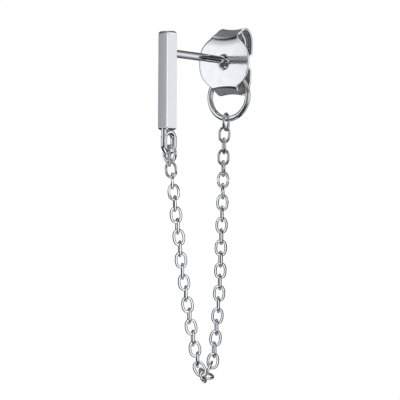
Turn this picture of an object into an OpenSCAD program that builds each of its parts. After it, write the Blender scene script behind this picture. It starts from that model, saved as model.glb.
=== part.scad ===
/* [Bar] */
// Length of the bar from top to bottom
bar_len = 10; // [8.5:0.1:13]
// Width of the bar's square section
bar_w = 1.45; // [1.2:0.05:1.8]
// Rounding of the bar's long edges
bar_edge = 0.15; // [0.1:0.01:0.25]
// Rounding of the bar's two ends
end_edge = 0.3; // [0.1:0.01:0.4]
// Height of the bar's top above the post's seat
bar_rise = 2.5; // [1.5:0.1:3.5]
// Lean of the bar in degrees, its foot away from the ear
bar_lean = 0.5; // [0:0.1:2]

/* [Post] */
// Diameter of the post
post_d = 0.8; // [0.7:0.02:0.9]
// Length of the post behind the bar
post_len = 10.6; // [9.5:0.1:12]
// Droop of the post in degrees towards its free end
post_droop = 4.3; // [3:0.1:5]
// Room for the ear lobe between the bar and the nut
lobe_gap = 7.25; // [6:0.05:9]

/* [End loop] */
// Wire of the loop under the bar
loop_wire = 0.64; // [0.5:0.02:0.66]
// Width of the loop over its wire
loop_w = 2; // [1.8:0.05:2.3]
// Drop of the loop below the bar
loop_drop = 2.45; // [2.2:0.05:2.8]

/* [Nut] */
// Width of the nut's oval disc
disc_w = 7; // [6:0.1:8]
// Height of the full oval that the disc is cut from
disc_h = 5.8; // [5.6:0.1:6.6]
// Thickness of the sheet
sheet_t = 0.2; // [0.15:0.01:0.22]
// Hole for the post
hole_d = 1.26; // [1.2:0.02:1.4]
// Diameter of the funnel that leads the post into the hole
funnel_d = 1.55; // [1.45:0.05:1.8]
// Lean of the nut in degrees, its top away from the bar
nut_lean = 1.5; // [0:0.1:3]
// Width of each tab where it leaves the disc
tab_w = 3.9; // [3.6:0.05:4]
// Width of each tab past its first bend
tab_neck_w = 3.3; // [3.2:0.05:3.5]
// Width of each tab at the back of its scroll
tab_end_w = 3.1; // [2.8:0.05:3.2]

/* [Rings] */
// Outer diameter of the large ring in the nut's lower scroll
nut_ring_od = 5.1; // [5:0.05:5.3]
// Wire of the large ring
nut_ring_wire = 0.57; // [0.5:0.01:0.6]
// Outer diameter of the two jump rings
jump_od = 1.92; // [1.86:0.02:2]
// Wire of the jump ring under the bar
bar_jump_wire = 0.36; // [0.3:0.02:0.38]
// Wire of the jump ring on the large ring
nut_jump_wire = 0.3; // [0.26:0.02:0.32]

/* [Chain] */
// Width of the chain over its links
chain_d = 1.26; // [1.1:0.02:1.3]

/* [Hidden] */
$fn = 48;
silver = "gainsboro";

// Places along Y: the bar's back and the disc's front on either side of the lobe, the origin between them
bar_back = -3.65;
disc_front = bar_back + lobe_gap;
bar_y = bar_back - bar_w / 2;
// The loop stands a little behind the bar's middle
loop_y = bar_y + 0.16;
loop_bottom = bar_rise - bar_len - loop_drop;
loop_r = (loop_w - loop_wire) / 2;
loop_turn_z = loop_bottom + loop_w / 2;
// Straight stretch between the loop's lower and upper turns
loop_straight = 0.6;
// How far soldered parts reach into each other
solder = 0.3;
// Rounding of the post's free end
tip_r = 0.15;

// The post runs over the middle of the nut's hole by this much where it enters it
post_rise = 0.17;
hole_z = -disc_front * tan(post_droop) - post_rise;
funnel_depth = 0.16;
// Length of the hole's collar behind the sheet
collar_len = 0.35;
// Free space between the post and the two scrolls that pinch it
pinch_gap = 0.04;
// Where the scrolls meet the post, behind the disc's front and above the hole's middle
pinch_y = 2.05;
pinch_z = post_rise - pinch_y * tan(post_droop - nut_lean);
pinch_reach = post_d / 2 / cos(post_droop - nut_lean) + pinch_gap + sheet_t / 2;

// The disc's oval lies a little lower than its hole
disc_drop = 0.06;
// Distance from the hole to the bends at which the upper and the lower tab leave the disc, and how far each tab
// overlaps the disc before its bend
upper_bend_z = 2.35;
lower_bend_z = 2.5;
tab_root = 0.3;
// Bends are drawn in steps of this angle
bend_step = 12;
// Course of each tab from its first bend over its crown to its back: [straight run, bend radius, bend angle],
// the angle positive towards the disc
upper_scroll = [[0, 0.5, -52], [0.8, 0.9, -88], [0, 1.6, -40]];
lower_scroll = [[0, 0.35, -56], [0.7, 0.85, -88], [0, 2.2, -36]];
// The back then runs straight to the post and bends forward there
function scroll_end(back_run) = [[back_run, 0.5, -90], [0.1, 0, 0]];
shortest_back = 0.01;
// The lower tab goes on under the post towards the disc, the upper one inside its scroll
lower_end = [[0.6, 0, 0]];
upper_end = [[0, 0.2, -79], [1.45, 0.6, 31], [0.65, 0, 0]];
// Width of a tab along its height over the hole and along its depth behind the disc's front: [place, width]
function tab_heights(bend_z) = [
    [-disc_h, tab_w], [bend_z, tab_w], [bend_z + 0.42, tab_neck_w], [2 * disc_h, tab_neck_w]
];
tab_depths = [
    [-0.3, tab_w], [0.3, tab_w], [0.3, tab_neck_w], [0.9, tab_neck_w], [2, tab_end_w], [3.2, tab_end_w]
];

// Large ring: its middle behind and under the hole, its turn about Z and its lean
nut_ring_pos = [-0.05, disc_front + 0.85, hole_z - 3.53];
nut_ring_turn = 12;
nut_ring_lean = 5;
// Jump rings: one hangs in the loop, the other on the large ring, turned about Z
bar_jump_pos = [0.08, loop_y + 0.065, loop_bottom + 0.09];
nut_jump_pos = nut_ring_pos + [-0.14, -0.27, -2.58];
nut_jump_turn = 117;

// Route of the chain from the bar's jump ring down and up to the nut's jump ring
chain_route = [
    [0, -4, -10.9], [0, -3.9, -11.5], [0, -3.5, -13.7], [0, -3.2, -16], [0, -2.8, -18.3], [0, -2.5, -20.6],
    [0, -2.05, -22.9], [0, -1.55, -25.1], [0, -1.05, -27.4], [0, -0.6, -29.4], [0, -0.25, -30.7],
    [0, 0.03, -31.6], [0, 0.3, -32.2], [0, 0.75, -32.55], [0, 1.25, -32.5], [0, 1.62, -32.05],
    [0, 1.85, -31.45], [0, 2.02, -30.7], [0, 2.45, -28.5], [0, 2.75, -26.3], [0, 2.97, -24], [0, 3.15, -21.7],
    [0, 3.25, -19.4], [0, 3.35, -17.1], [-0.02, 3.47, -14.7], [-0.05, 3.6, -12.4], [-0.1, 3.75, -10.1],
    [-0.15, 3.9, -8.4], [-0.17, 3.95, -7.6]
];
chain_last = len(chain_route) - 1;
chain_sides = 8;
// Where the chain's ends lie under the middles of the two jump rings. When a size moves a ring, the route
// follows it, less and less towards its other end.
chain_start = bar_jump_pos + [-0.08, 0.15, -1.04];
chain_end = nut_jump_pos + [0.02, -0.23, -1.05];
chain_points = [for (i = [0:chain_last])
    let (s = i / chain_last)
    chain_route[i] + (1 - s) * (chain_start - chain_route[0]) + s * (chain_end - chain_route[chain_last])];

// Square with rounded corners, lying round the origin
module rounded_rect(w, h, r) {
    square([w - 2 * r, h], center = true);
    square([w, h - 2 * r], center = true);
    for (x = [-1, 1], y = [-1, 1])
        translate([x * (w / 2 - r), y * (h / 2 - r)]) circle(r = r);
}

// Round ring standing upright, its hole along Y
module wire_ring(od, wire) {
    rotate([90, 0, 0])
        rotate_extrude() translate([(od - wire) / 2, 0]) circle(d = wire);
}

module bar() {
    intersection() {
        linear_extrude(bar_len, center = true) rounded_rect(bar_w, bar_w, bar_edge);
        rotate([90, 0, 0]) linear_extrude(bar_w, center = true) rounded_rect(bar_w, bar_len, end_edge);
        rotate([90, 0, 90]) linear_extrude(bar_w, center = true) rounded_rect(bar_w, bar_len, end_edge);
    }
}

module post() {
    rotate([-90 - post_droop, 0, 0])
        translate([0, 0, bar_back - solder])
            rotate_extrude() difference() {
                union() {
                    square([post_d / 2, post_len + solder - tip_r]);
                    square([post_d / 2 - tip_r, post_len + solder]);
                    translate([post_d / 2 - tip_r, post_len + solder - tip_r]) circle(r = tip_r);
                }
                translate([-post_d, 0]) square([post_d, post_len * 2]);
            }
}

// Long loop soldered under the bar by its upper turn, with a straight column of solder at its front
module end_loop() {
    column_len = bar_rise - bar_len + solder - loop_turn_z;
    column_d = loop_wire - 0.04;
    translate([0, loop_y, loop_turn_z]) {
        translate([0, -loop_r, 0]) cylinder(d = column_d, h = column_len);
        for (side = [-1, 1])
            translate([0, side * loop_r, 0]) cylinder(d = loop_wire, h = loop_straight);
        rotate([90, 0, 90]) rotate([0, 0, 180])
            rotate_extrude(angle = 180) translate([loop_r, 0]) circle(d = loop_wire);
        translate([0, 0, loop_straight]) rotate([90, 0, 90])
            rotate_extrude(angle = 180) translate([loop_r, 0]) circle(d = loop_wire);
    }
}

module bar_stud() {
    color(silver) union() {
        translate([0, bar_y, 0]) rotate([-bar_lean, 0, 0]) translate([0, 0, bar_rise - bar_len / 2]) bar();
        post();
        end_loop();
    }
}

// A sheet's course in its own side view. A state holds the place, the heading and the points so far, each
// point with its heading.
function ahead(a) = [cos(a), sin(a)];
function run(state, len) =
    let (p = state[0] + len * ahead(state[1]))
    [p, state[1], concat(state[2], [[p, state[1]]])];
function bend(state, r, angle) =
    let (
        side = sign(angle),
        centre = state[0] + r * ahead(state[1] + 90 * side),
        steps = ceil(abs(angle) / bend_step),
        turned = [for (i = [1:steps]) state[1] + angle * i / steps],
        made = [for (a = turned) [centre - r * ahead(a + 90 * side), a]]
    )
    [made[steps - 1][0], state[1] + angle, concat(state[2], made)];
function follow(state, course, i = 0) =
    i == len(course) ? state :
    let (
        straight = course[i][0] > 0 ? run(state, course[i][0]) : state,
        bent = course[i][1] > 0 ? bend(straight, course[i][1], course[i][2]) : straight
    )
    follow(bent, course, i + 1);
function sheet_outline(points) =
    let (half = sheet_t / 2)
    concat(
        [for (p = points) p[0] + half * ahead(p[1] + 90)],
        [for (i = [len(points) - 1:-1:0]) points[i][0] - half * ahead(points[i][1] + 90)]
    );

// One tab in side view, as it curls back from the disc's top, with Y to the right. Its back comes down to the
// height at which it meets the post.
module tab_profile(bend_z, scroll, free_end, pinch) {
    foot = [sheet_t / 2, bend_z - tab_root];
    start = run([foot, 90, [[foot, 90]]], tab_root);
    crown = follow(start, scroll);
    end_height = follow(crown, scroll_end(shortest_back))[0][1];
    back = follow(crown, scroll_end(shortest_back + end_height - pinch));
    polygon(sheet_outline(follow(back, free_end)[2]));
}

// Symmetric outline of the given widths
module outline(widths) {
    polygon(concat(
        [for (row = widths) [row[1] / 2, row[0]]],
        [for (i = [len(widths) - 1:-1:0]) [-widths[i][1] / 2, widths[i][0]]]
    ));
}

module tab(bend_z, scroll, free_end, pinch) {
    intersection() {
        rotate([90, 0, 90]) linear_extrude(tab_w, center = true) tab_profile(bend_z, scroll, free_end, pinch);
        rotate([90, 0, 0]) linear_extrude(2 * disc_h, center = true) outline(tab_heights(bend_z));
        linear_extrude(2 * disc_h, center = true) outline(tab_depths);
    }
}

// Oval disc: its sides follow one circle, its top and bottom a larger one
module disc() {
    side_r = disc_w / 2;
    cap_r = side_r * 1.2;
    rotate([90, 0, 0]) translate([0, 0, -sheet_t]) linear_extrude(sheet_t) intersection() {
        translate([0, -disc_drop]) intersection() {
            circle(r = side_r);
            translate([0, disc_h / 2 - cap_r]) circle(r = cap_r);
            translate([0, cap_r - disc_h / 2]) circle(r = cap_r);
        }
        translate([-side_r, -lower_bend_z]) square([disc_w, lower_bend_z + upper_bend_z]);
    }
}

module ear_nut() {
    through = 1;
    collar_back = sheet_t + collar_len;
    color(silver) translate([0, disc_front, hole_z]) rotate([-nut_lean, 0, 0]) difference() {
        union() {
            disc();
            rotate([-90, 0, 0]) cylinder(d = funnel_d + sheet_t, h = collar_back);
            tab(upper_bend_z, upper_scroll, upper_end, pinch_reach + pinch_z);
            mirror([0, 0, 1]) tab(lower_bend_z, lower_scroll, lower_end, pinch_reach - pinch_z);
        }
        rotate([-90, 0, 0]) cylinder(d1 = funnel_d, d2 = hole_d, h = funnel_depth);
        translate([0, -through, 0]) rotate([-90, 0, 0]) cylinder(d = hole_d, h = collar_back + 2 * through);
    }
}

module nut_ring() {
    color(silver) translate(nut_ring_pos) rotate([0, 0, nut_ring_turn]) rotate([-nut_ring_lean, 0, 0])
        wire_ring(nut_ring_od, nut_ring_wire);
}

module bar_jump_ring() {
    color(silver) translate(bar_jump_pos) wire_ring(jump_od, bar_jump_wire);
}

module nut_jump_ring() {
    color(silver) translate(nut_jump_pos) rotate([0, 0, nut_jump_turn]) wire_ring(jump_od, nut_jump_wire);
}

// Direction of the chain at a point of its route
function chain_heading(i) =
    let (along = chain_points[min(chain_last, i + 1)] - chain_points[max(0, i - 1)])
    along / norm(along);

module chain() {
    side_axis = [1, 0, 0];
    points = [for (i = [0:chain_last], k = [0:chain_sides - 1])
        let (
            turn = 360 * (k + 0.5) / chain_sides,
            other = cross(chain_heading(i), side_axis),
            across = other / norm(other)
        )
        chain_points[i] + chain_d / 2 * (cos(turn) * side_axis + sin(turn) * across)];
    first_cap = [for (k = [0:chain_sides - 1]) k];
    last_cap = [for (k = [chain_sides - 1:-1:0]) chain_last * chain_sides + k];
    walls = [for (i = [0:chain_last - 1], k = [0:chain_sides - 1])
        let (next = (k + 1) % chain_sides, near = i * chain_sides, far = (i + 1) * chain_sides)
        [near + next, near + k, far + k, far + next]];
    color(silver) polyhedron(points = points, faces = concat([first_cap], walls, [last_cap]));
}

bar_stud();
ear_nut();
nut_ring();
bar_jump_ring();
nut_jump_ring();
chain();
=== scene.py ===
import math

import bmesh
import bpy
from bpy.props import FloatProperty, FloatVectorProperty, IntProperty, PointerProperty
from mathutils import Matrix, Vector


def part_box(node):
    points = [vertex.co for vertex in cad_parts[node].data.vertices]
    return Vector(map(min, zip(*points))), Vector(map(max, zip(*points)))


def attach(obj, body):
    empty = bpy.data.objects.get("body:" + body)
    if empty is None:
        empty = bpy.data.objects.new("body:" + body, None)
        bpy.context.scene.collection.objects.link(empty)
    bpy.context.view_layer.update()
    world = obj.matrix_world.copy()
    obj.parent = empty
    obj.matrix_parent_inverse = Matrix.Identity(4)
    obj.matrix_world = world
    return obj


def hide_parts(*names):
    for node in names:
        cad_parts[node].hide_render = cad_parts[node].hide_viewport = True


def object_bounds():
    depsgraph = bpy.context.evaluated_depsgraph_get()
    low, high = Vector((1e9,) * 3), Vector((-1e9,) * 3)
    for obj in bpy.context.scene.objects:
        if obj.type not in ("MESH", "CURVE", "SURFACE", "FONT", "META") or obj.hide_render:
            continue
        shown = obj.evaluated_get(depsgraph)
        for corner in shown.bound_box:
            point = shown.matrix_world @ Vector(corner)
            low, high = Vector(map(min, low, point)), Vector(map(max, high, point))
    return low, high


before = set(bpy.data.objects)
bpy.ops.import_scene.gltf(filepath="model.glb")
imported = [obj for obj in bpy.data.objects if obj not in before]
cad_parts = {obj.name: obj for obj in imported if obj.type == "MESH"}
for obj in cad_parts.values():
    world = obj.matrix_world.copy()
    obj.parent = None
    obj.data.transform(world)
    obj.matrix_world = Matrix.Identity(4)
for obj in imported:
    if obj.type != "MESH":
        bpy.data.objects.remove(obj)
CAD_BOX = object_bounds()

bl_info = {
    "name": "Bar and chain earring",
    "version": (1, 0, 0),
    "blender": (4, 5, 0),
    "location": "3D View > Sidebar > Earring",
    "description": "Makes a bar stud earring with its ear nut, rings and draped cable chain",
    "category": "Object",
}

MM = 0.001

# The view looks along the ground, halfway between the bar's front and its right side
TO_CAMERA = Vector((math.sqrt(0.5), -math.sqrt(0.5), 0))
TO_RIGHT = Vector((math.sqrt(0.5), math.sqrt(0.5), 0))
UP = Vector((0, 0, 1))
# Point that the camera looks at
AIM = Vector((0.114, 0.114, -14.5)) * MM

# How many flat parts make up each round shape
POST_SIDES = 64
LOOP_SIDES = 32
LOOP_STEPS = 24
RING_SIDES = 28
RING_STEPS = 96
LINK_SIDES = 14
LINK_STEPS = 36
FLOOR_SIDES = 96
END_STEPS = 8
ROUND_STEPS = 6
EDGE_STEPS = 3


def number(name, default, description, **settings):
    """Number as a property."""
    return FloatProperty(name=name, description=description, default=default, **settings)


def length(name, default, description):
    """Size in millimetres as a property in metres."""
    return number(name, default * MM, description, min=0, subtype="DISTANCE")


def angle(name, default, description):
    """Angle in degrees as a property."""
    return number(name, math.radians(default), description, subtype="ANGLE")


def share(name, default, description):
    """Number from 0 to 1 as a property."""
    return number(name, default, description, min=0, max=1)


def colour(name, default, description):
    """Colour as a property."""
    return FloatVectorProperty(
        name=name, description=description, default=default, subtype="COLOR", min=0, max=1, size=3
    )


class BarSizes(bpy.types.PropertyGroup):
    """Sizes of the square bar."""

    width: length("Width", 1.45, "Width of the bar's square section")
    height: length("Height", 10, "Length of the bar")
    rise: length("Rise", 2.5, "Bar's top above the post")
    chamfer: length("Chamfer", 0.125, "Width of a long edge's chamfer on each face")
    soft_edge: length("Soft edge", 0.03, "Rounding where a chamfer meets a face")
    end_rounding: length("End rounding", 0.3, "Rounding of the two ends")
    lean: angle("Lean", 0.5, "Lean of the bar's foot away from the ear")
    back: length("Back", 3.65, "Distance from the bar's back to the lobe's middle")


class PostSizes(bpy.types.PropertyGroup):
    """Sizes of the ear post."""

    diameter: length("Diameter", 0.8, "Diameter of the post")
    reach: length("Reach", 10.6, "Length of the post behind the bar")
    droop: angle("Droop", 4.3, "How far the post's free end hangs down")
    tip: length("Tip rounding", 0.15, "Rounding of the post's free end")
    solder: length("Solder", 0.07, "Width of the solder round the post's foot")


class LoopSizes(bpy.types.PropertyGroup):
    """Sizes of the wire loop under the bar."""

    wire: length("Wire", 0.64, "Wire of the loop")
    width: length("Width", 2, "Width of the loop over its wire")
    straight: length("Straight", 0.6, "Straight stretch between the two turns")
    setback: length("Setback", 0.16, "Loop's distance behind the bar's middle")


class NutSizes(bpy.types.PropertyGroup):
    """Sizes of the ear nut."""

    disc_radius: length("Disc radius", 3.5, "Radius of the disc's sides")
    disc_height: length("Disc height", 5.8, "Height of the oval that the disc is cut from")
    disc_drop: length("Disc drop", 0.06, "How far the oval's middle is below the hole")
    upper_bend: length("Upper bend", 2.35, "From the hole up to the upper tab's bend")
    lower_bend: length("Lower bend", 2.5, "From the hole down to the lower tab's bend")
    sheet: length("Sheet", 0.2, "Thickness of the sheet")
    hole: length("Hole", 1.26, "Diameter of the hole for the post")
    lip: length("Lip", 0.11, "Radius of the hole's turned edge")
    collar: length("Collar", 0.45, "Depth of the hole's collar")
    lean: angle("Lean", 1.5, "Lean of the nut's top away from the bar")
    front: length("Front", 3.6, "Distance from the disc's front to the lobe's middle")
    rim: length("Rim", 0.018, "Rounding of the sheet's cut edges")


class RingSizes(bpy.types.PropertyGroup):
    """Sizes of the three wire rings."""

    large_wire: length("Large ring wire", 0.57, "Wire of the large ring")
    large_turn: angle("Large ring turn", 12, "Turn of the large ring about its upright axis")
    large_lean: angle("Large ring lean", 5, "Lean of the large ring away from the bar")
    large_width: length("Large ring width", 5.1, "Outer diameter of the large ring")
    jump_width: length("Jump ring width", 1.92, "Outer diameter of the two jump rings")
    bar_wire: length("Front jump ring wire", 0.36, "Wire of the jump ring under the bar")
    nut_wire: length("Back jump ring wire", 0.3, "Wire of the jump ring on the large ring")
    nut_turn: angle("Back jump ring turn", 117, "Turn of the back jump ring about its upright axis")
    seam: length("Seam", 0.015, "Width of the fine joint in each jump ring")


class ChainSizes(bpy.types.PropertyGroup):
    """Sizes of the chain."""

    link_length: length("Link length", 1.72, "Outer length of a link")
    link_width: length("Link width", 1.27, "Outer width of a link")
    wire: length("Wire", 0.275, "Wire of the links")
    squareness: number("Squareness", 2.4, "2 makes oval links, more makes their ends squarer", min=2, max=6)
    pitch: length("Pitch", 1.154, "Distance from one link to the next")
    front_links: IntProperty(name="Front links", description="Links below the bar", default=19, min=3)
    back_links: IntProperty(name="Back links", description="Links below the nut", default=21, min=3)


class SilverFinish(bpy.types.PropertyGroup):
    """Colour and polish of the silver."""

    bright: colour("Bright silver", (0.955, 0.957, 0.965), "Colour of the polished silver")
    dull: colour("Dull silver", (0.9, 0.9, 0.905), "Colour of slightly tarnished silver")
    bar_polish: share("Bar roughness", 0.045, "Roughness of the polished bar")
    wire_polish: share("Wire roughness", 0.04, "Roughness of the rings and the loop")
    sheet_polish: share("Sheet roughness", 0.14, "Roughness of the ear nut's sheet")
    inner_polish: share("Inner sheet roughness", 0.36, "Roughness of the sheet's inner side")
    post_polish: share("Post roughness", 0.06, "Roughness of the drawn post")


class StudioSettings(bpy.types.PropertyGroup):
    """Light, floor and camera."""

    lens: number("Lens", 444.6, "Focal length of the camera", unit="CAMERA")
    distance: length("Distance", 500, "Distance of the camera from the earring")
    floor_gap: length("Floor gap", 12, "Distance of the floor below the earring")
    sky: number("Sky", 1, "Brightness of the soft studio light", min=0, max=4)
    lamp_power: number("Lamp power", 1.6, "Power of the lamp above the floor", unit="POWER")
    floor_tone: share("Floor tone", 0.9, "How pale the floor is")


GROUPS = {
    "earring_bar": BarSizes,
    "earring_post": PostSizes,
    "earring_loop": LoopSizes,
    "earring_nut": NutSizes,
    "earring_rings": RingSizes,
    "earring_chain": ChainSizes,
    "earring_silver": SilverFinish,
    "earring_studio": StudioSettings,
}


def add_node(tree, kind, inputs=None, **settings):
    """New node with its settings, and its inputs set to values or linked to outputs."""
    made = tree.nodes.new(kind)
    for name, value in settings.items():
        setattr(made, name, value)
    for key, value in (inputs or {}).items():
        if isinstance(value, bpy.types.NodeSocket):
            tree.links.new(value, made.inputs[key])
        else:
            made.inputs[key].default_value = value
    return made


def result(tree, kind, inputs=None, **settings):
    """First output of a new node."""
    return add_node(tree, kind, inputs, **settings).outputs[0]


def calc(tree, operation, *values):
    """Output of a Math node on up to three values."""
    return result(tree, "ShaderNodeMath", dict(enumerate(values)), operation=operation)


def product(tree, *values):
    """All the values multiplied together."""
    total = values[0]
    for value in values[1:]:
        total = calc(tree, "MULTIPLY", total, value)
    return total


def mapped(tree, value, low, high, start=0, end=1, **settings):
    """Value moved from the span of low to high into the span of start to end."""
    spans = dict(enumerate((value, low, high, start, end)))
    return result(tree, "ShaderNodeMapRange", spans, **settings)


def smooth_step(tree, value, low, high):
    """Soft change from 0 at low to 1 at high."""
    return mapped(tree, value, low, high, interpolation_type="SMOOTHSTEP")


def read_off(tree, value, rows):
    """Brightness at a value, from rows of [value, brightness]."""
    low, high = rows[0][0], rows[-1][0]
    made = add_node(tree, "ShaderNodeValToRGB", {"Fac": mapped(tree, value, low, high)})
    points = made.color_ramp.elements
    while len(points) < len(rows):
        points.new(1)
    for point, (place, brightness) in zip(points, rows):
        point.position = (place - low) / (high - low)
        point.color = (brightness, brightness, brightness, 1)
    return made.outputs["Color"]


def mixed(tree, part, first, second):
    """Value between two others, the first one where part is 0."""
    return result(tree, "ShaderNodeMix", {"Factor": part, "A": first, "B": second})


def along(tree, direction, axis):
    """How far a direction points along an axis."""
    made = add_node(tree, "ShaderNodeVectorMath", {0: direction, 1: axis}, operation="DOT_PRODUCT")
    return made.outputs["Value"]


def new_material(name):
    """Material with nodes, and its nodes."""
    made = bpy.data.materials.new(name)
    made.use_nodes = True
    return made, made.node_tree


# Patterns in the silver. Their scale is per millimetre, and per polishing line for the hairlines
PATCHES = {"Scale": 1.3, "Detail": 3, "Roughness": 0.6}
HAIRLINES = {"Scale": 1, "Detail": 2, "Roughness": 0.7}
SWELL = {"Scale": 0.6, "Detail": 1, "Roughness": 0.4}
# How many times longer a polishing line is than it is wide
LINE_STRETCH = 40
# Strength of a pattern at which the wear, the polishing lines and the tarnish begin and are full
WORN = (0.3, 0.7)
LINED = (0.55, 0.8)
TARNISHED = (0.45, 0.85)


def silver(name, polish, spread=0.012, grain=(0, 0, 0), lines=12, line_depth=2e-8, waves=3e-7, inner=None):
    """Polished silver. polish names its roughness, which wanders by spread.

    Fine polishing lines run along the grain: grain is their turn, lines their number per millimetre and
    line_depth their depth. waves is the depth of the unevenness that hand polishing leaves, and inner the
    roughness of a bent sheet's inner side.
    """
    made, tree = new_material(name)
    shader = tree.nodes["Principled BSDF"]
    shader.inputs["Metallic"].default_value = 1
    finish = bpy.context.scene.earring_silver
    roughness = getattr(finish, polish)

    place = add_node(tree, "ShaderNodeTexCoord").outputs["Object"]
    even = result(tree, "ShaderNodeMapping", {"Vector": place, "Scale": (1 / MM, 1 / MM, 1 / MM)})
    turned = result(tree, "ShaderNodeMapping", {"Vector": even, "Rotation": grain})
    closeness = (lines, lines, lines / LINE_STRETCH)
    drawn = result(tree, "ShaderNodeMapping", {"Vector": turned, "Scale": closeness})
    patches, hairlines, swell = (
        result(tree, "ShaderNodeTexNoise", {"Vector": at, **pattern})
        for at, pattern in ((even, PATCHES), (drawn, HAIRLINES), (even, SWELL))
    )

    worn = mapped(tree, patches, *WORN, roughness - spread, roughness + spread)
    rough = calc(tree, "ADD", worn, mapped(tree, hairlines, *LINED, 0, spread))
    if inner:
        side = add_node(tree, "ShaderNodeAttribute", attribute_name="inner side").outputs["Fac"]
        rough = mixed(tree, side, rough, inner)
    tones = {"Factor": mapped(tree, patches, *TARNISHED), "A": (*finish.bright, 1), "B": (*finish.dull, 1)}
    tone = add_node(tree, "ShaderNodeMix", tones, data_type="RGBA").outputs[2]
    low = result(tree, "ShaderNodeBump", {"Height": swell, "Strength": 1, "Distance": waves})
    fine = result(
        tree, "ShaderNodeBump", {"Height": hairlines, "Strength": 1, "Distance": line_depth, "Normal": low}
    )
    for socket, value in (("Roughness", rough), ("Base Color", tone), ("Normal", fine)):
        tree.links.new(value, shader.inputs[socket])
    return made


def new_mesh(name, points, faces=()):
    """Mesh from points in metres."""
    mesh = bpy.data.meshes.new(name)
    mesh.from_pydata([tuple(point) for point in points], [], faces)
    return mesh


def new_object(name, data):
    """Object in the scene from a mesh, a lamp or a camera."""
    made = bpy.data.objects.new(name, data)
    bpy.context.scene.collection.objects.link(made)
    return made


def outward(mesh):
    """Working copy of a mesh with its faces turned outwards."""
    work = bmesh.new()
    work.from_mesh(mesh)
    bmesh.ops.recalc_face_normals(work, faces=work.faces)
    return work


def new_piece(name, node, vertices, faces, material, sharp=35, flat=False):
    """Smooth piece of closed mesh. Edges past the sharp angle stay sharp, and flat evens large faces."""
    mesh = new_mesh(name, vertices, faces)
    work = outward(mesh)
    open_edges = [edge for edge in work.edges if not edge.is_manifold]
    work.to_mesh(mesh)
    work.free()
    if open_edges:
        raise RuntimeError(f"{name} is not closed at {len(open_edges)} edges")
    mesh.shade_smooth()
    mesh.set_sharp_from_angle(angle=math.radians(sharp))
    if flat:
        mesh = with_flat_faces(mesh)
    return finish_piece(name, node, mesh, material)


def finish_piece(name, node, mesh, material):
    """Puts a mesh into the scene as a piece that stands for a node of the frame."""
    mesh.name = name
    mesh.materials.clear()
    mesh.materials.append(material)
    piece = new_object(name, mesh)
    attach(piece, "root")
    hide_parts(node)
    return piece


def with_flat_faces(mesh):
    """Mesh with its shading even over each large face, so that small roundings don't bend it."""
    thing = new_object(mesh.name, mesh)
    weighted = thing.modifiers.new("flat faces", "WEIGHTED_NORMAL")
    weighted.mode = "FACE_AREA"
    weighted.weight = 90
    return baked(thing)


def baked(thing):
    """Plain mesh of an object with its modifiers applied. The object itself is removed."""
    graph = bpy.context.evaluated_depsgraph_get()
    mesh = bpy.data.meshes.new_from_object(thing.evaluated_get(graph), depsgraph=graph)
    bpy.data.objects.remove(thing)
    return mesh


def placed(points, matrix):
    """Points moved by a matrix."""
    return [matrix @ Vector(point) for point in points]


def skin(rings, closed=False):
    """Faces between rings with the same number of points in each. Open ends get a flat face."""
    count = len(rings[0])
    vertices = [point for ring in rings for point in ring]
    starts = [count * ring for ring in range(len(rings))]
    corners = [(corner, (corner + 1) % count) for corner in range(count)]
    faces = []
    for low, high in zip(starts, starts[1:] + starts[:1] * closed):
        faces += [(low + corner, low + after, high + after, high + corner) for corner, after in corners]
    if not closed:
        faces += [tuple(reversed(range(count))), tuple(range(starts[-1], starts[-1] + count))]
    return vertices, faces


def arc(middle_x, middle_y, radius, start, end, steps):
    """Points on an arc in a plane, from one angle to another in degrees."""
    turns = [math.radians(start + (end - start) * step / steps) for step in range(steps + 1)]
    return [(middle_x + radius * math.cos(turn), middle_y + radius * math.sin(turn)) for turn in turns]


def circle(radius, parts):
    """Points round a full circle in a plane."""
    return arc(0, 0, radius, 0, 360, parts)[:-1]


def lathe(profile, sides):
    """Round shape about Z from its half outline: [radius, height]."""
    return skin([[Vector((x, y, height)) for x, y in circle(radius, sides)] for radius, height in profile])


def wire(points, tangents, across, radius, sides, closed=False):
    """Round wire along points. across is the direction square to the plane that the wire lies in."""
    rings = []
    for point, tangent in zip(points, tangents):
        out = tangent.cross(across).normalized()
        rings.append([point + out * x + across * y for x, y in circle(radius, sides)])
    return skin(rings, closed)


def chamfered(half, chamfer, radius):
    """Outline of a square with cut corners, anticlockwise. radius rounds where a cut meets a side."""
    side = half - radius
    end = half - chamfer - radius * math.tan(math.pi / 8)
    outline = arc(side, end, radius, 0, 45, EDGE_STEPS) + arc(end, side, radius, 45, 90, EDGE_STEPS)
    half_round = outline + [(-y, x) for x, y in outline]
    return half_round + [(-x, -y) for x, y in half_round]


def bar_middle(sizes):
    """Middle of the bar in its depth."""
    return -sizes.back - sizes.width / 2


class EARRING_OT_bar(bpy.types.Operator):
    """Make the polished square bar with its chamfered edges"""

    bl_idname = "earring.bar"
    bl_label = "Bar"

    def execute(self, context):
        sizes = context.scene.earring_bar
        rounding = sizes.end_rounding
        half_height = sizes.height / 2
        end = arc(0, half_height - rounding, rounding, 0, 90, END_STEPS)
        levels = [(rounding - x, height) for x, height in end]
        levels = [(inset, -height) for inset, height in reversed(levels)] + levels
        rings = []
        for inset, height in levels:
            outline = chamfered(sizes.width / 2 - inset, sizes.chamfer, sizes.soft_edge)
            rings.append([Vector((x, y, height)) for x, y in outline])
        vertices, faces = skin(rings)
        place = (
            Matrix.Translation((0, bar_middle(sizes), 0))
            @ Matrix.Rotation(-sizes.lean, 4, "X")
            @ Matrix.Translation((0, 0, sizes.rise - half_height))
        )
        material = silver("bar mirror polish", "bar_polish", spread=0.015, lines=14, waves=4e-7)
        new_piece("bar", "bar_stud", placed(vertices, place), faces, material, sharp=50, flat=True)
        return {"FINISHED"}


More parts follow.
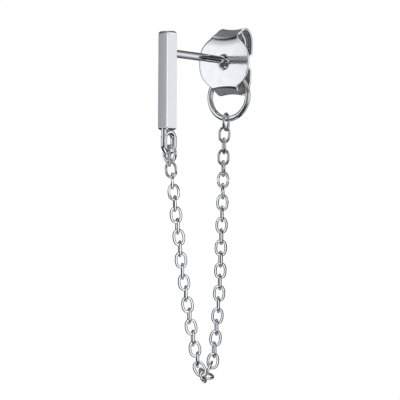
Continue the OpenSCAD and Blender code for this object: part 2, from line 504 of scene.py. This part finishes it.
class EARRING_OT_post(bpy.types.Operator):
    """Make the ear post, soldered to the bar's back"""

    bl_idname = "earring.post"
    bl_label = "Ear post"

    def execute(self, context):
        sizes = context.scene.earring_post
        bar = context.scene.earring_bar
        radius = sizes.diameter / 2
        foot = -bar.back
        tip = foot + sizes.reach
        fillet = arc(radius + sizes.solder, foot + sizes.solder, sizes.solder, 270, 180, ROUND_STEPS)
        end = arc(radius - sizes.tip, tip - sizes.tip, sizes.tip, 0, 90, ROUND_STEPS)
        profile = [(radius + sizes.solder, foot - bar.width / 4)] + fillet + end
        vertices, faces = lathe(profile, POST_SIDES)
        turn = math.pi / 2 + sizes.droop
        vertices = placed(vertices, Matrix.Rotation(-turn, 4, "X"))
        material = silver(
            "drawn post wire", "post_polish", spread=0.02, grain=(turn, 0, 0), lines=18, line_depth=3e-8,
            waves=1e-7
        )
        new_piece("ear_post", "bar_stud", vertices, faces, material)
        return {"FINISHED"}


class EARRING_OT_end_loop(bpy.types.Operator):
    """Make the thick wire loop soldered under the bar"""

    bl_idname = "earring.end_loop"
    bl_label = "End loop"

    # The leg that joins the loop to the bar, in mm: how much thinner than the wire its radius is, how far it
    # reaches into the bar and how far it stands inside the wire's middle
    LEG_THINNER = 0.03
    LEG_INTO_BAR = 0.2
    LEG_INSIDE = 0.02

    def execute(self, context):
        sizes = context.scene.earring_loop
        bar = context.scene.earring_bar
        bar_foot = bar.rise - bar.height
        radius = (sizes.width - sizes.wire) / 2
        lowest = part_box("bar_stud")[0][2]
        lower_turn = lowest + sizes.width / 2
        middle = bar_middle(bar) + sizes.setback
        points = []
        tangents = []
        for centre, start in ((lower_turn, 180), (lower_turn + sizes.straight, 0)):
            for depth, height in arc(0, 0, radius, start, start + 180, LOOP_STEPS):
                points.append(Vector((0, middle + depth, centre + height)))
                tangents.append(Vector((0, -height, depth)).normalized())
        vertices, faces = wire(points, tangents, Vector((1, 0, 0)), sizes.wire / 2, LOOP_SIDES, closed=True)
        column = sizes.wire / 2 - self.LEG_THINNER * MM
        profile = [(column, lower_turn), (column, bar_foot + self.LEG_INTO_BAR * MM)]
        leg, leg_faces = lathe(profile, LOOP_SIDES)
        faces += [tuple(len(vertices) + corner for corner in side) for side in leg_faces]
        vertices += placed(leg, Matrix.Translation((0, middle - radius + self.LEG_INSIDE * MM, 0)))
        new_piece("end_loop", "bar_stud", vertices, faces, silver("loop wire", "wire_polish"))
        return {"FINISHED"}


def pointed(turn):
    """Unit step in a side view, in degrees: 0 goes back from the disc, 90 goes up."""
    return Vector((math.cos(math.radians(turn)), math.sin(math.radians(turn))))


# How finely a bent sheet is divided: longest straight part in mm, and widest part of a bend in degrees
STRAIGHT_PART = 0.3
BEND_PART = 6


def followed(course, place, turn):
    """Points on the course of a bent sheet in its side view. A bend is positive towards the disc."""
    points = []
    for run, radius, bend in course:
        if run:
            parts = max(1, round(run / (STRAIGHT_PART * MM)))
            points += [place + pointed(turn) * run * part / parts for part in range(1, parts + 1)]
            place = points[-1]
        if bend:
            side = math.copysign(90, bend)
            middle = place + radius * pointed(turn + side)
            parts = math.ceil(abs(bend) / BEND_PART)
            turns = [turn + bend * part / parts for part in range(1, parts + 1)]
            points += [middle - radius * pointed(now + side) for now in turns]
            place = points[-1]
            turn += bend
    return points


def scaled(course):
    """Course in metres from one in millimetres."""
    return [(run * MM, radius * MM, bend) for run, radius, bend in course]


def read_row(rows, place):
    """Value at a place in a table of [place, value], straight between its rows."""
    for (low, first), (high, second) in zip(rows, rows[1:]):
        if place <= high:
            part = max(0, (place - low) / (high - low))
            return first + (second - first) * part
    return rows[-1][1]


class NutSheet:
    """The ear nut's sheet as one grid of points on its middle, before it gets its thickness."""

    # The upper tab is side 1, the lower one side -1. Course of each from its first bend over its crown to its
    # back, and of the free end past the post, in mm and degrees: [run, radius, bend]
    SCROLLS = {
        1: ((0, 0.5, -47.5), (0.8, 0.9, -88), (0, 1.6, -40)),
        -1: ((0, 0.35, -56), (0.7, 0.85, -88), (0, 2.2, -36))
    }
    LAST_RADIUS = 0.5
    FREE_ENDS = {
        1: ((0.1, 0.2, -79), (1.45, 0.6, 31), (0.65, 0, 0)),
        -1: ((0.7, 0, 0),)
    }
    # A tab narrows to its neck within this rise over its first bend. Its width by its depth behind the disc:
    # [place, width], all in mm
    SHOULDERS = {1: 0.45, -1: 0.95}
    NECK = 3.3
    DEPTHS = ((0.3, 3.96), (0.5, 3.3), (0.9, 3.3), (2, 3.1))
    # By length along a tab in mm: how far its middle stands nearer to the hole than its sides, how far its
    # left side stands nearer than its right one, and how far its left side is pressed up beside the post
    SAGS = {
        1: ((0, 0.2), (1.3, 0.147), (1.9, 0.147), (3.2, 0.05)),
        -1: ((0, 0.14), (1, 0.15), (1.9, 0.15), (3, 0.05))
    }
    TWISTS = {1: ((0, 0), (1.3, 0.04), (1.9, 0.04), (3.2, 0.01)), -1: ((0, -0.13), (0.7, 0))}
    PRESSED = {1: ((0, 0),), -1: ((4.2, 0), (5.1, 0.32))}
    # The disc starts to curve back this far under its upper bend, by this much in all
    EASE = 0.7
    EASE_BEND = 4.5
    # The hole's middle lies this far under the post. The tabs pinch the post this far behind the disc, and
    # leave this gap, all in mm
    HOLE_DROP = 0.17
    PINCH = 2.05
    PINCH_GAP = 0.04
    # Radius of the arcs that cut the disc's ends, in its own radii. The higher the blend, the more sudden the
    # change from its sides to these flatter ends
    CAP = 1.2
    BLEND = 60
    FLAT_PARTS = 24
    SIDE_PARTS = 44
    RINGS = 14

    def __init__(self, sizes, post):
        self.sizes = sizes
        self.post = post
        self.middle = sizes.sheet / 2
        self.cap = sizes.disc_radius * self.CAP
        self.offset = self.cap - sizes.disc_height / 2
        self.bends = {1: sizes.upper_bend, -1: sizes.lower_bend}
        self.corners = {(side, end): self.corner(side, end) for side in (1, -1) for end in (1, -1)}
        self.vertices = []
        self.faces = []

    def add(self, x, y, z):
        """New point, which is returned by its number."""
        self.vertices.append(Vector((x, y, z)))
        return len(self.vertices) - 1

    def strip(self, row, after):
        """Faces between two rows of points."""
        for part in range(len(row) - 1):
            self.faces.append((row[part], row[part + 1], after[part + 1], after[part]))

    def corner(self, side, end):
        """End of a bend on the oval, on the right for end 1 and on the left for -1."""
        z = side * (self.bends[side] - self.TWISTS[side][0][1] * MM * (1 - end) / 2)
        rise = abs(z + self.sizes.disc_drop) + self.offset
        return end * math.sqrt(self.cap * self.cap - rise * rise), z

    def bend_point(self, side, part):
        """Point of a bend line, from part 0 at its right end to 1 at its left one."""
        right, left = (Vector(self.corners[side, end]) for end in (1, -1))
        sag = self.SAGS[side][0][1] * MM * 4 * part * (1 - part)
        return right.lerp(left, part) - Vector((0, side * sag))

    def eased(self, x, z):
        """Depth of the disc's middle at a place."""
        across = min(1, abs(x) / self.corners[1, 1][0])
        sag = self.SAGS[1][0][1] * MM * (1 - across * across)
        past = max(0, z + sag - self.bends[1] + self.EASE * MM)
        return self.middle + past * past * math.tan(math.radians(self.EASE_BEND)) / (2 * self.EASE * MM)

    def side_line(self, end):
        """Points along the oval's side from its lower corner to its upper one."""
        drop = self.sizes.disc_drop
        side = self.sizes.disc_radius
        low, high = (math.atan2(z + drop, abs(x)) for x, z in (self.corners[-1, end], self.corners[1, end]))
        points = []
        for part in range(self.SIDE_PARTS + 1):
            turn = low + (high - low) * part / self.SIDE_PARTS
            fall = self.offset * abs(math.sin(turn))
            flatter = math.sqrt(fall * fall + self.cap * self.cap - self.offset * self.offset) - fall
            # The smaller distance of the two, with a smooth change between them
            far = side / (1 + (side / flatter) ** self.BLEND) ** (1 / self.BLEND)
            points.append((end * far * math.cos(turn), far * math.sin(turn) - drop))
        return points

    def disc(self):
        """Grid from the hole's turned edge out to the outline, which starts at the upper right corner."""
        sizes = self.sizes
        parts = [part / self.FLAT_PARTS for part in range(self.FLAT_PARTS)]
        upper = [self.bend_point(1, part) for part in parts]
        lower = [self.bend_point(-1, 1 - part) for part in parts]
        outline = upper + self.side_line(-1)[:0:-1] + lower + self.side_line(1)[:-1]
        wall = sizes.hole / 2 + self.middle
        turned = arc(wall + sizes.lip, self.middle + sizes.lip, sizes.lip, 180, 270, ROUND_STEPS)
        collar = [(wall, sizes.collar + self.middle * part) for part in (1, 0)]
        rows = []
        for radius, depth in collar + turned:
            scales = [radius / math.hypot(x, z) for x, z in outline]
            rows.append([self.add(x * scale, depth, z * scale) for (x, z), scale in zip(outline, scales)])
        start = wall + sizes.lip
        for ring in range(1, self.RINGS + 1):
            part = ring / self.RINGS
            row = []
            for x, z in outline:
                near = start / math.hypot(x, z)
                scale = near + (1 - near) * part
                row.append(self.add(x * scale, self.eased(x * scale, z * scale), z * scale))
            rows.append(row)
        for inner, outer in zip(rows, rows[1:]):
            self.strip(inner + inner[:1], outer + outer[:1])
        self.edge = rows[-1]

    def tab(self, side, pinch):
        """Strip of sheet from a bend of the disc along its course, down to pinch over the hole."""
        bend = self.bends[side]
        ease = self.EASE_BEND if side > 0 else 0
        right, left = self.corners[side, 1][0], self.corners[side, -1][0]
        start = Vector((self.eased(right, bend) if side > 0 else self.middle, bend))
        scroll = scaled(self.SCROLLS[side])
        back = followed(scroll, start, 90 - ease)[-1]
        last = self.LAST_RADIUS * MM
        course = scroll + [(back.y - last - pinch, last, -90)] + scaled(self.FREE_ENDS[side])
        first_point = 0 if side > 0 else self.FLAT_PARTS + self.SIDE_PARTS
        row = [self.edge[(first_point + part) % len(self.edge)] for part in range(self.FLAT_PARTS + 1)]
        before = start
        length_so_far = 0
        for place in followed(course, start, 90 - ease):
            length_so_far += (place - before).length / MM
            before = place
            rise = max(place.y - bend, place.x - self.middle) / MM
            shoulder = max(0, 1 - rise / self.SHOULDERS[side])
            neck = self.NECK * MM
            neck += (right - left - neck) * shoulder
            width = min(neck, MM * read_row(self.DEPTHS, place.x / MM))
            middle = (right + left) / 2 * shoulder
            sag, twist, pressed = (
                MM * read_row(rows[side], length_so_far) for rows in (self.SAGS, self.TWISTS, self.PRESSED)
            )
            new = []
            for part in range(self.FLAT_PARTS + 1):
                across = side * (0.5 - part / self.FLAT_PARTS)
                lowered = place.y - sag * (1 - 4 * across * across) - twist * (0.5 - across)
                lowered -= pressed * max(0, -2 * across) ** 2
                new.append(self.add(middle + width * across, place.x, side * lowered))
            self.strip(row, new)
            row = new

    def build(self):
        """The whole sheet's points, with the nut leaning as it is worn, and its faces."""
        sizes = self.sizes
        hole_height = -sizes.front * math.tan(self.post.droop) - self.HOLE_DROP * MM
        tilt = self.post.droop - sizes.lean
        rise = (self.HOLE_DROP - self.PINCH * math.tan(tilt)) * MM
        reach = self.post.diameter / 2 / math.cos(tilt) + self.PINCH_GAP * MM + self.middle
        self.disc()
        self.tab(1, rise + reach)
        self.tab(-1, reach - rise)
        place = Matrix.Translation((0, sizes.front, hole_height)) @ Matrix.Rotation(-sizes.lean, 4, "X")
        return placed(self.vertices, place), self.faces


def thickened(vertices, faces, thickness, rim):
    """Closed sheet from its middle surface. rim is the rounding of its cut edges."""
    work = outward(new_mesh("middle", vertices, faces))
    work.normal_update()
    half = thickness / 2
    corner = rim * (1 - math.sqrt(0.5))
    # Section of a rim from the front face to the back one: [way in from the cut, height over the middle]
    front = [(rim, half), (corner, half - corner), (0, half - rim)]
    section = front + [(inset, -height) for inset, height in reversed(front)]
    points = []
    backs = []
    copies = {}
    for vertex in work.verts:
        out = Vector()
        rows = ((0, half), (0, -half))
        for edge in vertex.link_edges:
            if edge.is_boundary:
                rows = section
                face = edge.link_faces[0]
                first, second = (end.co for end in edge.verts)
                away = (second - first).cross(face.normal).normalized()
                out += away if away.dot((first + second) / 2 - face.calc_center_median()) > 0 else -away
        out.normalize()
        copies[vertex.index] = [len(points) + row for row in range(len(rows))]
        points += [vertex.co - out * inset + vertex.normal * height for inset, height in rows]
        backs += [float(height == -half) for _, height in rows]
    sides = []
    for face in work.faces:
        corners = [copies[vertex.index] for vertex in face.verts]
        sides.append(tuple(rows[0] for rows in corners))
        sides.append(tuple(rows[-1] for rows in reversed(corners)))
    for edge in work.edges:
        if edge.is_boundary:
            first, second = (copies[vertex.index] for vertex in edge.verts)
            for row in range(len(section) - 1):
                sides.append((first[row], second[row], second[row + 1], first[row + 1]))
    work.free()
    return points, sides, backs


class EARRING_OT_ear_nut(bpy.types.Operator):
    """Make the butterfly ear nut from one bent sheet"""

    bl_idname = "earring.ear_nut"
    bl_label = "Ear nut"

    def execute(self, context):
        sizes = context.scene.earring_nut
        sheet = NutSheet(sizes, context.scene.earring_post).build()
        vertices, faces, backs = thickened(*sheet, sizes.sheet, sizes.rim)
        inner = context.scene.earring_silver.inner_polish
        material = silver(
            "rolled nut sheet", "sheet_polish", grain=(0, math.pi / 2, 0), lines=16, waves=2e-7, inner=inner
        )
        piece = new_piece("nut_sheet", "ear_nut", vertices, faces, material, sharp=60, flat=True)
        marks = piece.data.attributes.new("inner side", "FLOAT", "POINT")
        marks.data.foreach_set("value", backs)
        return {"FINISHED"}


def round_ring(width, thickness, seam, seam_turn):
    """Wire ring standing in the XZ plane. A seam cuts it open by that width, at an angle in degrees."""
    radius = (width - thickness) / 2
    gap = math.degrees(seam / radius)
    start = seam_turn + gap / 2
    round_points = arc(0, 0, radius, start, start + 360 - gap, RING_STEPS)
    if not seam:
        round_points.pop()
    points = [Vector((x, 0, z)) for x, z in round_points]
    tangents = [Vector((-z, 0, x)).normalized() for x, z in round_points]
    return wire(points, tangents, Vector((0, 1, 0)), thickness / 2, RING_SIDES, closed=not seam)


class EARRING_OT_rings(bpy.types.Operator):
    """Make the large ring and the two jump rings"""

    bl_idname = "earring.rings"
    bl_label = "Rings"

    # Where the two jump rings have their joint, in degrees
    FRONT_JOINT = 200
    BACK_JOINT = 250

    def execute(self, context):
        sizes = context.scene.earring_rings
        material = silver("ring wire", "wire_polish")
        large_turn = Matrix.Rotation(sizes.large_turn, 4, "Z") @ Matrix.Rotation(-sizes.large_lean, 4, "X")
        nut_turn = Matrix.Rotation(sizes.nut_turn, 4, "Z")
        rings = (
            ("nut_ring", sizes.large_width, sizes.large_wire, 0, 0, large_turn),
            ("bar_jump_ring", sizes.jump_width, sizes.bar_wire, sizes.seam, self.FRONT_JOINT, Matrix()),
            ("nut_jump_ring", sizes.jump_width, sizes.nut_wire, sizes.seam, self.BACK_JOINT, nut_turn),
        )
        for name, width, thickness, seam, seam_turn, turn in rings:
            vertices, faces = round_ring(width, thickness, seam, seam_turn)
            low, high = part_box(name)
            place = Matrix.Translation((Vector(low) + Vector(high)) / 2) @ turn
            new_piece(f"{name}_wire", name, placed(vertices, place), faces, material, sharp=50)
        return {"FINISHED"}


# Middles of the highest links that face the view, and the route of each strand below them, in mm: [y, z]
FRONT_ROUTE = (
    (-4.13, -10.3), (-3.91, -11.44), (-3.51, -13.72), (-3.19, -16.02), (-2.78, -18.32), (-2.48, -20.61),
    (-2.04, -22.9), (-1.54, -25.15), (-1.04, -27.39), (-0.5, -29.58), (-0.1, -30.75)
)
BACK_ROUTE = (
    (3.74, -7.84), (3.61, -10.14), (3.55, -12.42), (3.45, -14.73), (3.33, -17.06), (3.22, -19.39),
    (3.15, -21.7), (2.97, -24.03), (2.73, -26.3), (2.45, -28.55), (2.1, -30.7)
)
# How far along its route the front strand starts, in mm
FRONT_START = 0.01
# No link hangs quite square to the next one: its turn and how much that changes in degrees, and how fast
LINK_TURN = 7
TURN_CHANGE = 4
CHANGE_PACE = 2.4
# The lowest links, where the chain turns: place in mm, long axis and flat axis by how far they point
# to the right, up and towards the view
LOW_LINKS = (
    ((0, 0.2, -31.61), (0.5, -0.86, 0.1), (0, 0.1, 1)),
    ((0, 0.62, -32.26), (0.17, -0.85, 0.5), (0.8, 0.35, 0.33)),
    ((0, 1.3, -32.36), (0.3, -0.296, 0.907), (0, 0.95, 0.31)),
    ((0, 1.5, -31.57), (0.42, 0.87, -0.25), (0.9, -0.43, 0)),
)
# Inputs of the nodes that make the links, each named as one of the chain's sizes
LINK_INPUTS = ("Link length", "Link width", "Wire", "Squareness")


def in_view(right, up, near):
    """Step given by how far it goes right, up and towards the view."""
    return TO_RIGHT * right + UP * up + TO_CAMERA * near


def strand(route, pitch, count, first):
    """Middles and long axes of count links a pitch apart along a route, starting first along it."""
    corners = [Vector((0, y, z)) * MM for y, z in route]
    places = []
    wanted = first
    for start, end in zip(corners, corners[1:]):
        step = (end - start).normalized()
        span = math.inf if end is corners[-1] else (end - start).length
        while len(places) < count and wanted <= span:
            places.append((start + step * wanted, step))
            wanted += pitch
        wanted -= span
    return places


def chain_places(sizes):
    """All links: [middle, long axis, flat axis]. Every other link faces the view, the rest are edge-on."""
    links = []
    front = strand(FRONT_ROUTE, sizes.pitch, sizes.front_links, FRONT_START * MM)
    back = strand(BACK_ROUTE, sizes.pitch, sizes.back_links, 0)
    for first, places in ((0, front), (1, back)):
        for number, (place, step) in enumerate(places):
            turn = math.radians(LINK_TURN + TURN_CHANGE * math.sin(CHANGE_PACE * number))
            facing = (number + first) % 2
            axis = TO_CAMERA if facing else TO_RIGHT
            links.append((place, step, Matrix.Rotation(-turn if facing else turn, 3, "Z") @ axis))
    for place, long_axis, flat_axis in LOW_LINKS:
        links.append((Vector(place) * MM, in_view(*long_axis).normalized(), in_view(*flat_axis).normalized()))
    return links


def link_tree():
    """Geometry Nodes that put an oval wire link on every point, turned to the point's two axes."""
    tree = bpy.data.node_groups.new("cable links", "GeometryNodeTree")
    for way in ("INPUT", "OUTPUT"):
        tree.interface.new_socket("Geometry", in_out=way, socket_type="NodeSocketGeometry")
    for name in LINK_INPUTS:
        tree.interface.new_socket(name, in_out="INPUT", socket_type="NodeSocketFloat")
    given = add_node(tree, "NodeGroupInput").outputs

    half_length, half_width = (
        product(tree, calc(tree, "SUBTRACT", given[size], given["Wire"]), 0.5)
        for size in ("Link length", "Link width")
    )
    unit = result(tree, "GeometryNodeCurvePrimitiveCircle", {"Resolution": LINK_STEPS, "Radius": 1})
    place = add_node(tree, "ShaderNodeSeparateXYZ", {0: result(tree, "GeometryNodeInputPosition")}).outputs
    power = calc(tree, "DIVIDE", 2, given["Squareness"])
    squared = [
        product(tree, calc(tree, "SIGN", at), half, calc(tree, "POWER", calc(tree, "ABSOLUTE", at), power))
        for at, half in ((place[0], half_width), (place[1], half_length))
    ]
    corner = result(tree, "ShaderNodeCombineXYZ", dict(enumerate(squared)))
    oval = result(tree, "GeometryNodeSetPosition", {"Geometry": unit, "Position": corner})
    round_wire = {"Resolution": LINK_SIDES, "Radius": product(tree, given["Wire"], 0.5)}
    section = result(tree, "GeometryNodeCurvePrimitiveCircle", round_wire)
    link = result(tree, "GeometryNodeCurveToMesh", {"Curve": oval, "Profile Curve": section})
    axes = [
        result(tree, "GeometryNodeInputNamedAttribute", {"Name": name}, data_type="FLOAT_VECTOR")
        for name in ("flat axis", "long axis")
    ]
    turn = result(
        tree, "FunctionNodeAxesToRotation", dict(enumerate(axes)), primary_axis="Z", secondary_axis="Y"
    )
    points = result(tree, "GeometryNodeMeshToPoints", {"Mesh": given["Geometry"]})
    links = result(
        tree, "GeometryNodeInstanceOnPoints", {"Points": points, "Instance": link, "Rotation": turn}
    )
    real = result(tree, "GeometryNodeRealizeInstances", {0: links})
    add_node(tree, "NodeGroupOutput", {0: result(tree, "GeometryNodeSetShadeSmooth", {0: real})})
    return tree


class EARRING_OT_chain(bpy.types.Operator):
    """Make the cable chain's links with Geometry Nodes"""

    bl_idname = "earring.chain"
    bl_label = "Chain"

    def execute(self, context):
        sizes = context.scene.earring_chain
        links = chain_places(sizes)
        mesh = new_mesh("link_places", [place for place, _, _ in links])
        for name, column in (("long axis", 1), ("flat axis", 2)):
            values = mesh.attributes.new(name, "FLOAT_VECTOR", "POINT")
            for item, link in zip(values.data, links):
                item.vector = link[column]
        points = new_object("link_places", mesh)
        tree = link_tree()
        maker = points.modifiers.new("links", "NODES")
        maker.node_group = tree
        for socket in tree.interface.items_tree:
            if socket.name in LINK_INPUTS:
                maker[socket.identifier] = getattr(sizes, socket.name.lower().replace(" ", "_"))
        mesh = baked(points)
        if not mesh.polygons:
            raise RuntimeError("the chain has no links")
        finish_piece("cable_chain", "chain", mesh, silver("chain wire", "wire_polish", lines=10, waves=1e-7))
        return {"FINISHED"}


# Brightness of the studio on its right and on its left, by the angle from the view in degrees
RIGHT_SKY = (
    (0, 0.16), (8, 0.18), (20, 0.3), (32, 0.6), (60, 0.7), (84, 0.82), (90.5, 0.84), (92, 1.1), (96, 0.95),
    (101, 0.6), (107, 0.32), (119, 0.17), (135, 0.06), (180, 0.03)
)
LEFT_SKY = (
    (0, 0.16), (7, 0.15), (12, 0.02), (40, 0.03), (48, 0.3), (56, 0.9), (67, 0.92), (84, 1.02), (90, 1.14),
    (95, 0.76), (104, 0.4), (119, 0.2), (130, 0.17), (180, 0.17)
)
# Share of light that dark flags on the left let through by height, from -1 straight down to 1, beside the
# earring and in front of it
LEFT_FLAG = (
    (-1, 1), (-0.7, 1), (-0.6, 0.06), (-0.2, 0.06), (-0.14, 1), (0.07, 1), (0.09, 0.83), (0.12, 0.6),
    (0.17, 0.47), (0.21, 0.06), (0.55, 0.06), (0.65, 1), (1, 1)
)
FRONT_FLAG = ((-1, 0.25), (-0.75, 0.06), (-0.3, 0.06), (-0.2, 1), (0.52, 1), (0.6, 0.1), (1, 0.1))
# Where each flag begins and is full by how far a direction points left, where the front one takes over by
# how far it points to the view, and where the right sky takes over by how far it points right
LEFT_EDGE = (0.35, 0.6)
FRONT_EDGE = (0.1, 0.3)
FLAG_CHANGE = (0, 0.1)
SKY_CHANGE = (-0.2, 0.1)
# Dark shades in front: the share of light let through, and where each begins and is full along its axes
SHADES = (
    (0.2, ((-UP, 0.15, 0.4), (TO_CAMERA, 0.05, 0.15))),
    (0.25, ((UP, 0.2, 0.4), (TO_CAMERA, 0.1, 0.3), (TO_RIGHT, 0, 0.2))),
)
SKY_TINT = (0.945, 0.972, 1, 1)
CARD_TINT = (0.93, 0.965, 1, 1)
# Cards that only polished metal sees, in mm, by how far they lie and face right, up and towards the view:
# [name, place, facing, half its width and height, brightness at its two sides]
CARDS = (
    ("edge_card", (-3.3, -2, 25), (0, 0, -1), (0.8, 7), (1, 1)),
    ("grey_card", (-60, 0, 2.9), (1, 0, 0), (1.3, 12), (0.28, 0.45)),
    ("chain_card", (0, -23.6, 9), (0, 0, -1), (6.5, 11.4), (1.2, 1.2)),
    ("lid_card", (3.9, -12, 4), (0, 1, 0), (6.1, 5.5), (0.05, 0.05)),
    ("left_dark_card", (-8.5, -24.5, -1.5), (1, 0, 0), (10, 11), (0.03, 0.03)),
    ("right_dark_card", (8.5, -24.5, -1.5), (-1, 0, 0), (10, 11), (0.03, 0.03)),
)
FLOOR_ROUGHNESS = 0.9
# Radius of the floor, size and height of the lamp, and how near to the camera things still show, in metres
FLOOR_RADIUS = 0.22
LAMP_SIZE = 0.4
LAMP_HEIGHT = 0.5
NEAREST_SEEN = 0.01


def make_sky(settings):
    """Soft studio light all round, with dark flags that polished silver reflects."""
    world = bpy.data.worlds.new("soft studio")
    bpy.context.scene.world = world
    world.use_nodes = True
    world.cycles.sampling_method = "NONE"
    tree = world.node_tree
    tree.nodes.clear()
    direction = add_node(tree, "ShaderNodeTexCoord").outputs["Generated"]
    near, right, left, height = (
        along(tree, direction, axis) for axis in (TO_CAMERA, TO_RIGHT, -TO_RIGHT, UP)
    )
    turn = calc(tree, "DEGREES", calc(tree, "ARCCOSINE", near))
    sides = [read_off(tree, turn, sky) for sky in (LEFT_SKY, RIGHT_SKY)]
    light = mixed(tree, smooth_step(tree, right, *SKY_CHANGE), *sides)
    flags = [
        mixed(tree, smooth_step(tree, left, *edge), 1, read_off(tree, height, rows))
        for edge, rows in ((LEFT_EDGE, LEFT_FLAG), (FRONT_EDGE, FRONT_FLAG))
    ]
    light = product(tree, light, mixed(tree, smooth_step(tree, near, *FLAG_CHANGE), *flags), settings.sky)
    for let_through, edges in SHADES:
        steps = [smooth_step(tree, along(tree, direction, axis), low, high) for axis, low, high in edges]
        light = product(tree, light, mixed(tree, product(tree, *steps), 1, let_through))
    soft = result(tree, "ShaderNodeBackground", {"Color": SKY_TINT, "Strength": light})
    white = result(tree, "ShaderNodeBackground", {"Color": (1, 1, 1, 1), "Strength": 1})
    seen = add_node(tree, "ShaderNodeLightPath").outputs["Is Camera Ray"]
    both = result(tree, "ShaderNodeMixShader", {0: seen, 1: soft, 2: white})
    add_node(tree, "ShaderNodeOutputWorld", {"Surface": both})


def make_card(name, place, facing, half_sizes, brightness):
    """Lit card whose brightness changes across its width."""
    middle = in_view(*place) * MM
    facing = in_view(*facing)
    up = TO_CAMERA if abs(facing.z) > 0.5 else UP
    side = facing.cross(up).normalized()
    half_width, half_height = (size * MM for size in half_sizes)
    corners = [
        middle + side * half_width * x + up * half_height * z for x, z in ((-1, -1), (1, -1), (1, 1), (-1, 1))
    ]
    mesh = new_mesh(name, corners, [(0, 1, 2, 3)])
    lit, tree = new_material(f"{name} light")
    lit.cycles.emission_sampling = "NONE"
    tree.nodes.clear()
    across = along(tree, add_node(tree, "ShaderNodeTexCoord").outputs["Object"], side)
    middle_at = middle.dot(side)
    strength = mapped(tree, across, middle_at - half_width, middle_at + half_width, *brightness)
    glow = result(tree, "ShaderNodeEmission", {"Color": CARD_TINT, "Strength": strength})
    add_node(tree, "ShaderNodeOutputMaterial", {"Surface": glow})
    mesh.materials.append(lit)
    made = new_object(name, mesh)
    made.visible_camera = False
    made.visible_diffuse = False
    made.visible_shadow = False


class EARRING_OT_studio(bpy.types.Operator):
    """Make the studio: soft light, cards, floor and camera"""

    bl_idname = "earring.studio"
    bl_label = "Studio"

    def execute(self, context):
        scene = context.scene
        settings = scene.earring_studio
        scene.view_settings.view_transform = "Standard"
        make_sky(settings)
        for card in CARDS:
            make_card(*card)
        self.make_floor(settings)
        self.make_camera(settings)
        return {"FINISHED"}

    def make_floor(self, settings):
        """Round pale floor below the earring, and the lamp over it."""
        level = CAD_BOX[0][2] - settings.floor_gap
        rim = [(x, y, level) for x, y in circle(FLOOR_RADIUS, FLOOR_SIDES)]
        mesh = new_mesh("floor", rim, [tuple(range(FLOOR_SIDES))])
        pale, tree = new_material("pale floor")
        shader = tree.nodes["Principled BSDF"]
        shader.inputs["Base Color"].default_value = (*[settings.floor_tone] * 3, 1)
        shader.inputs["Roughness"].default_value = FLOOR_ROUGHNESS
        mesh.materials.append(pale)
        floor = new_object("floor", mesh)
        floor.visible_glossy = False
        light = bpy.data.lights.new("lamp", "AREA")
        light.size = LAMP_SIZE
        light.energy = settings.lamp_power
        lamp = new_object("lamp", light)
        lamp.location = (0, 0, LAMP_HEIGHT)
        lamp.visible_glossy = False

    def make_camera(self, settings):
        """Level camera with a long lens."""
        data = bpy.data.cameras.new("camera")
        data.lens = settings.lens
        data.clip_start = NEAREST_SEEN
        camera = new_object("camera", data)
        camera.location = AIM + TO_CAMERA * settings.distance
        camera.rotation_euler = (math.pi / 2, 0, math.pi / 4)
        bpy.context.scene.camera = camera


OPERATORS = (
    EARRING_OT_studio, EARRING_OT_bar, EARRING_OT_post, EARRING_OT_end_loop, EARRING_OT_ear_nut,
    EARRING_OT_rings, EARRING_OT_chain
)


class EARRING_PT_panel(bpy.types.Panel):
    """Lists the earring's pieces and sizes"""

    bl_idname = "EARRING_PT_panel"
    bl_label = "Earring"
    bl_space_type = "VIEW_3D"
    bl_region_type = "UI"
    bl_category = "Earring"

    def draw(self, context):
        for operator in OPERATORS:
            self.layout.operator(operator.bl_idname)
        for name, group in GROUPS.items():
            box = self.layout.box()
            for size in group.__annotations__:
                box.prop(getattr(context.scene, name), size)


CLASSES = (*GROUPS.values(), *OPERATORS, EARRING_PT_panel)


def register():
    """Adds the classes and the settings."""
    for made in CLASSES:
        bpy.utils.register_class(made)
    for name, group in GROUPS.items():
        setattr(bpy.types.Scene, name, PointerProperty(type=group))


def unregister():
    """Takes everything away that register added."""
    for name in GROUPS:
        delattr(bpy.types.Scene, name)
    for made in reversed(CLASSES):
        bpy.utils.unregister_class(made)


def main():
    """Makes the earring in its studio."""
    register()
    for operator in OPERATORS:
        getattr(bpy.ops.earring, operator.bl_idname.removeprefix("earring."))()


if __name__ == "__main__":
    main()
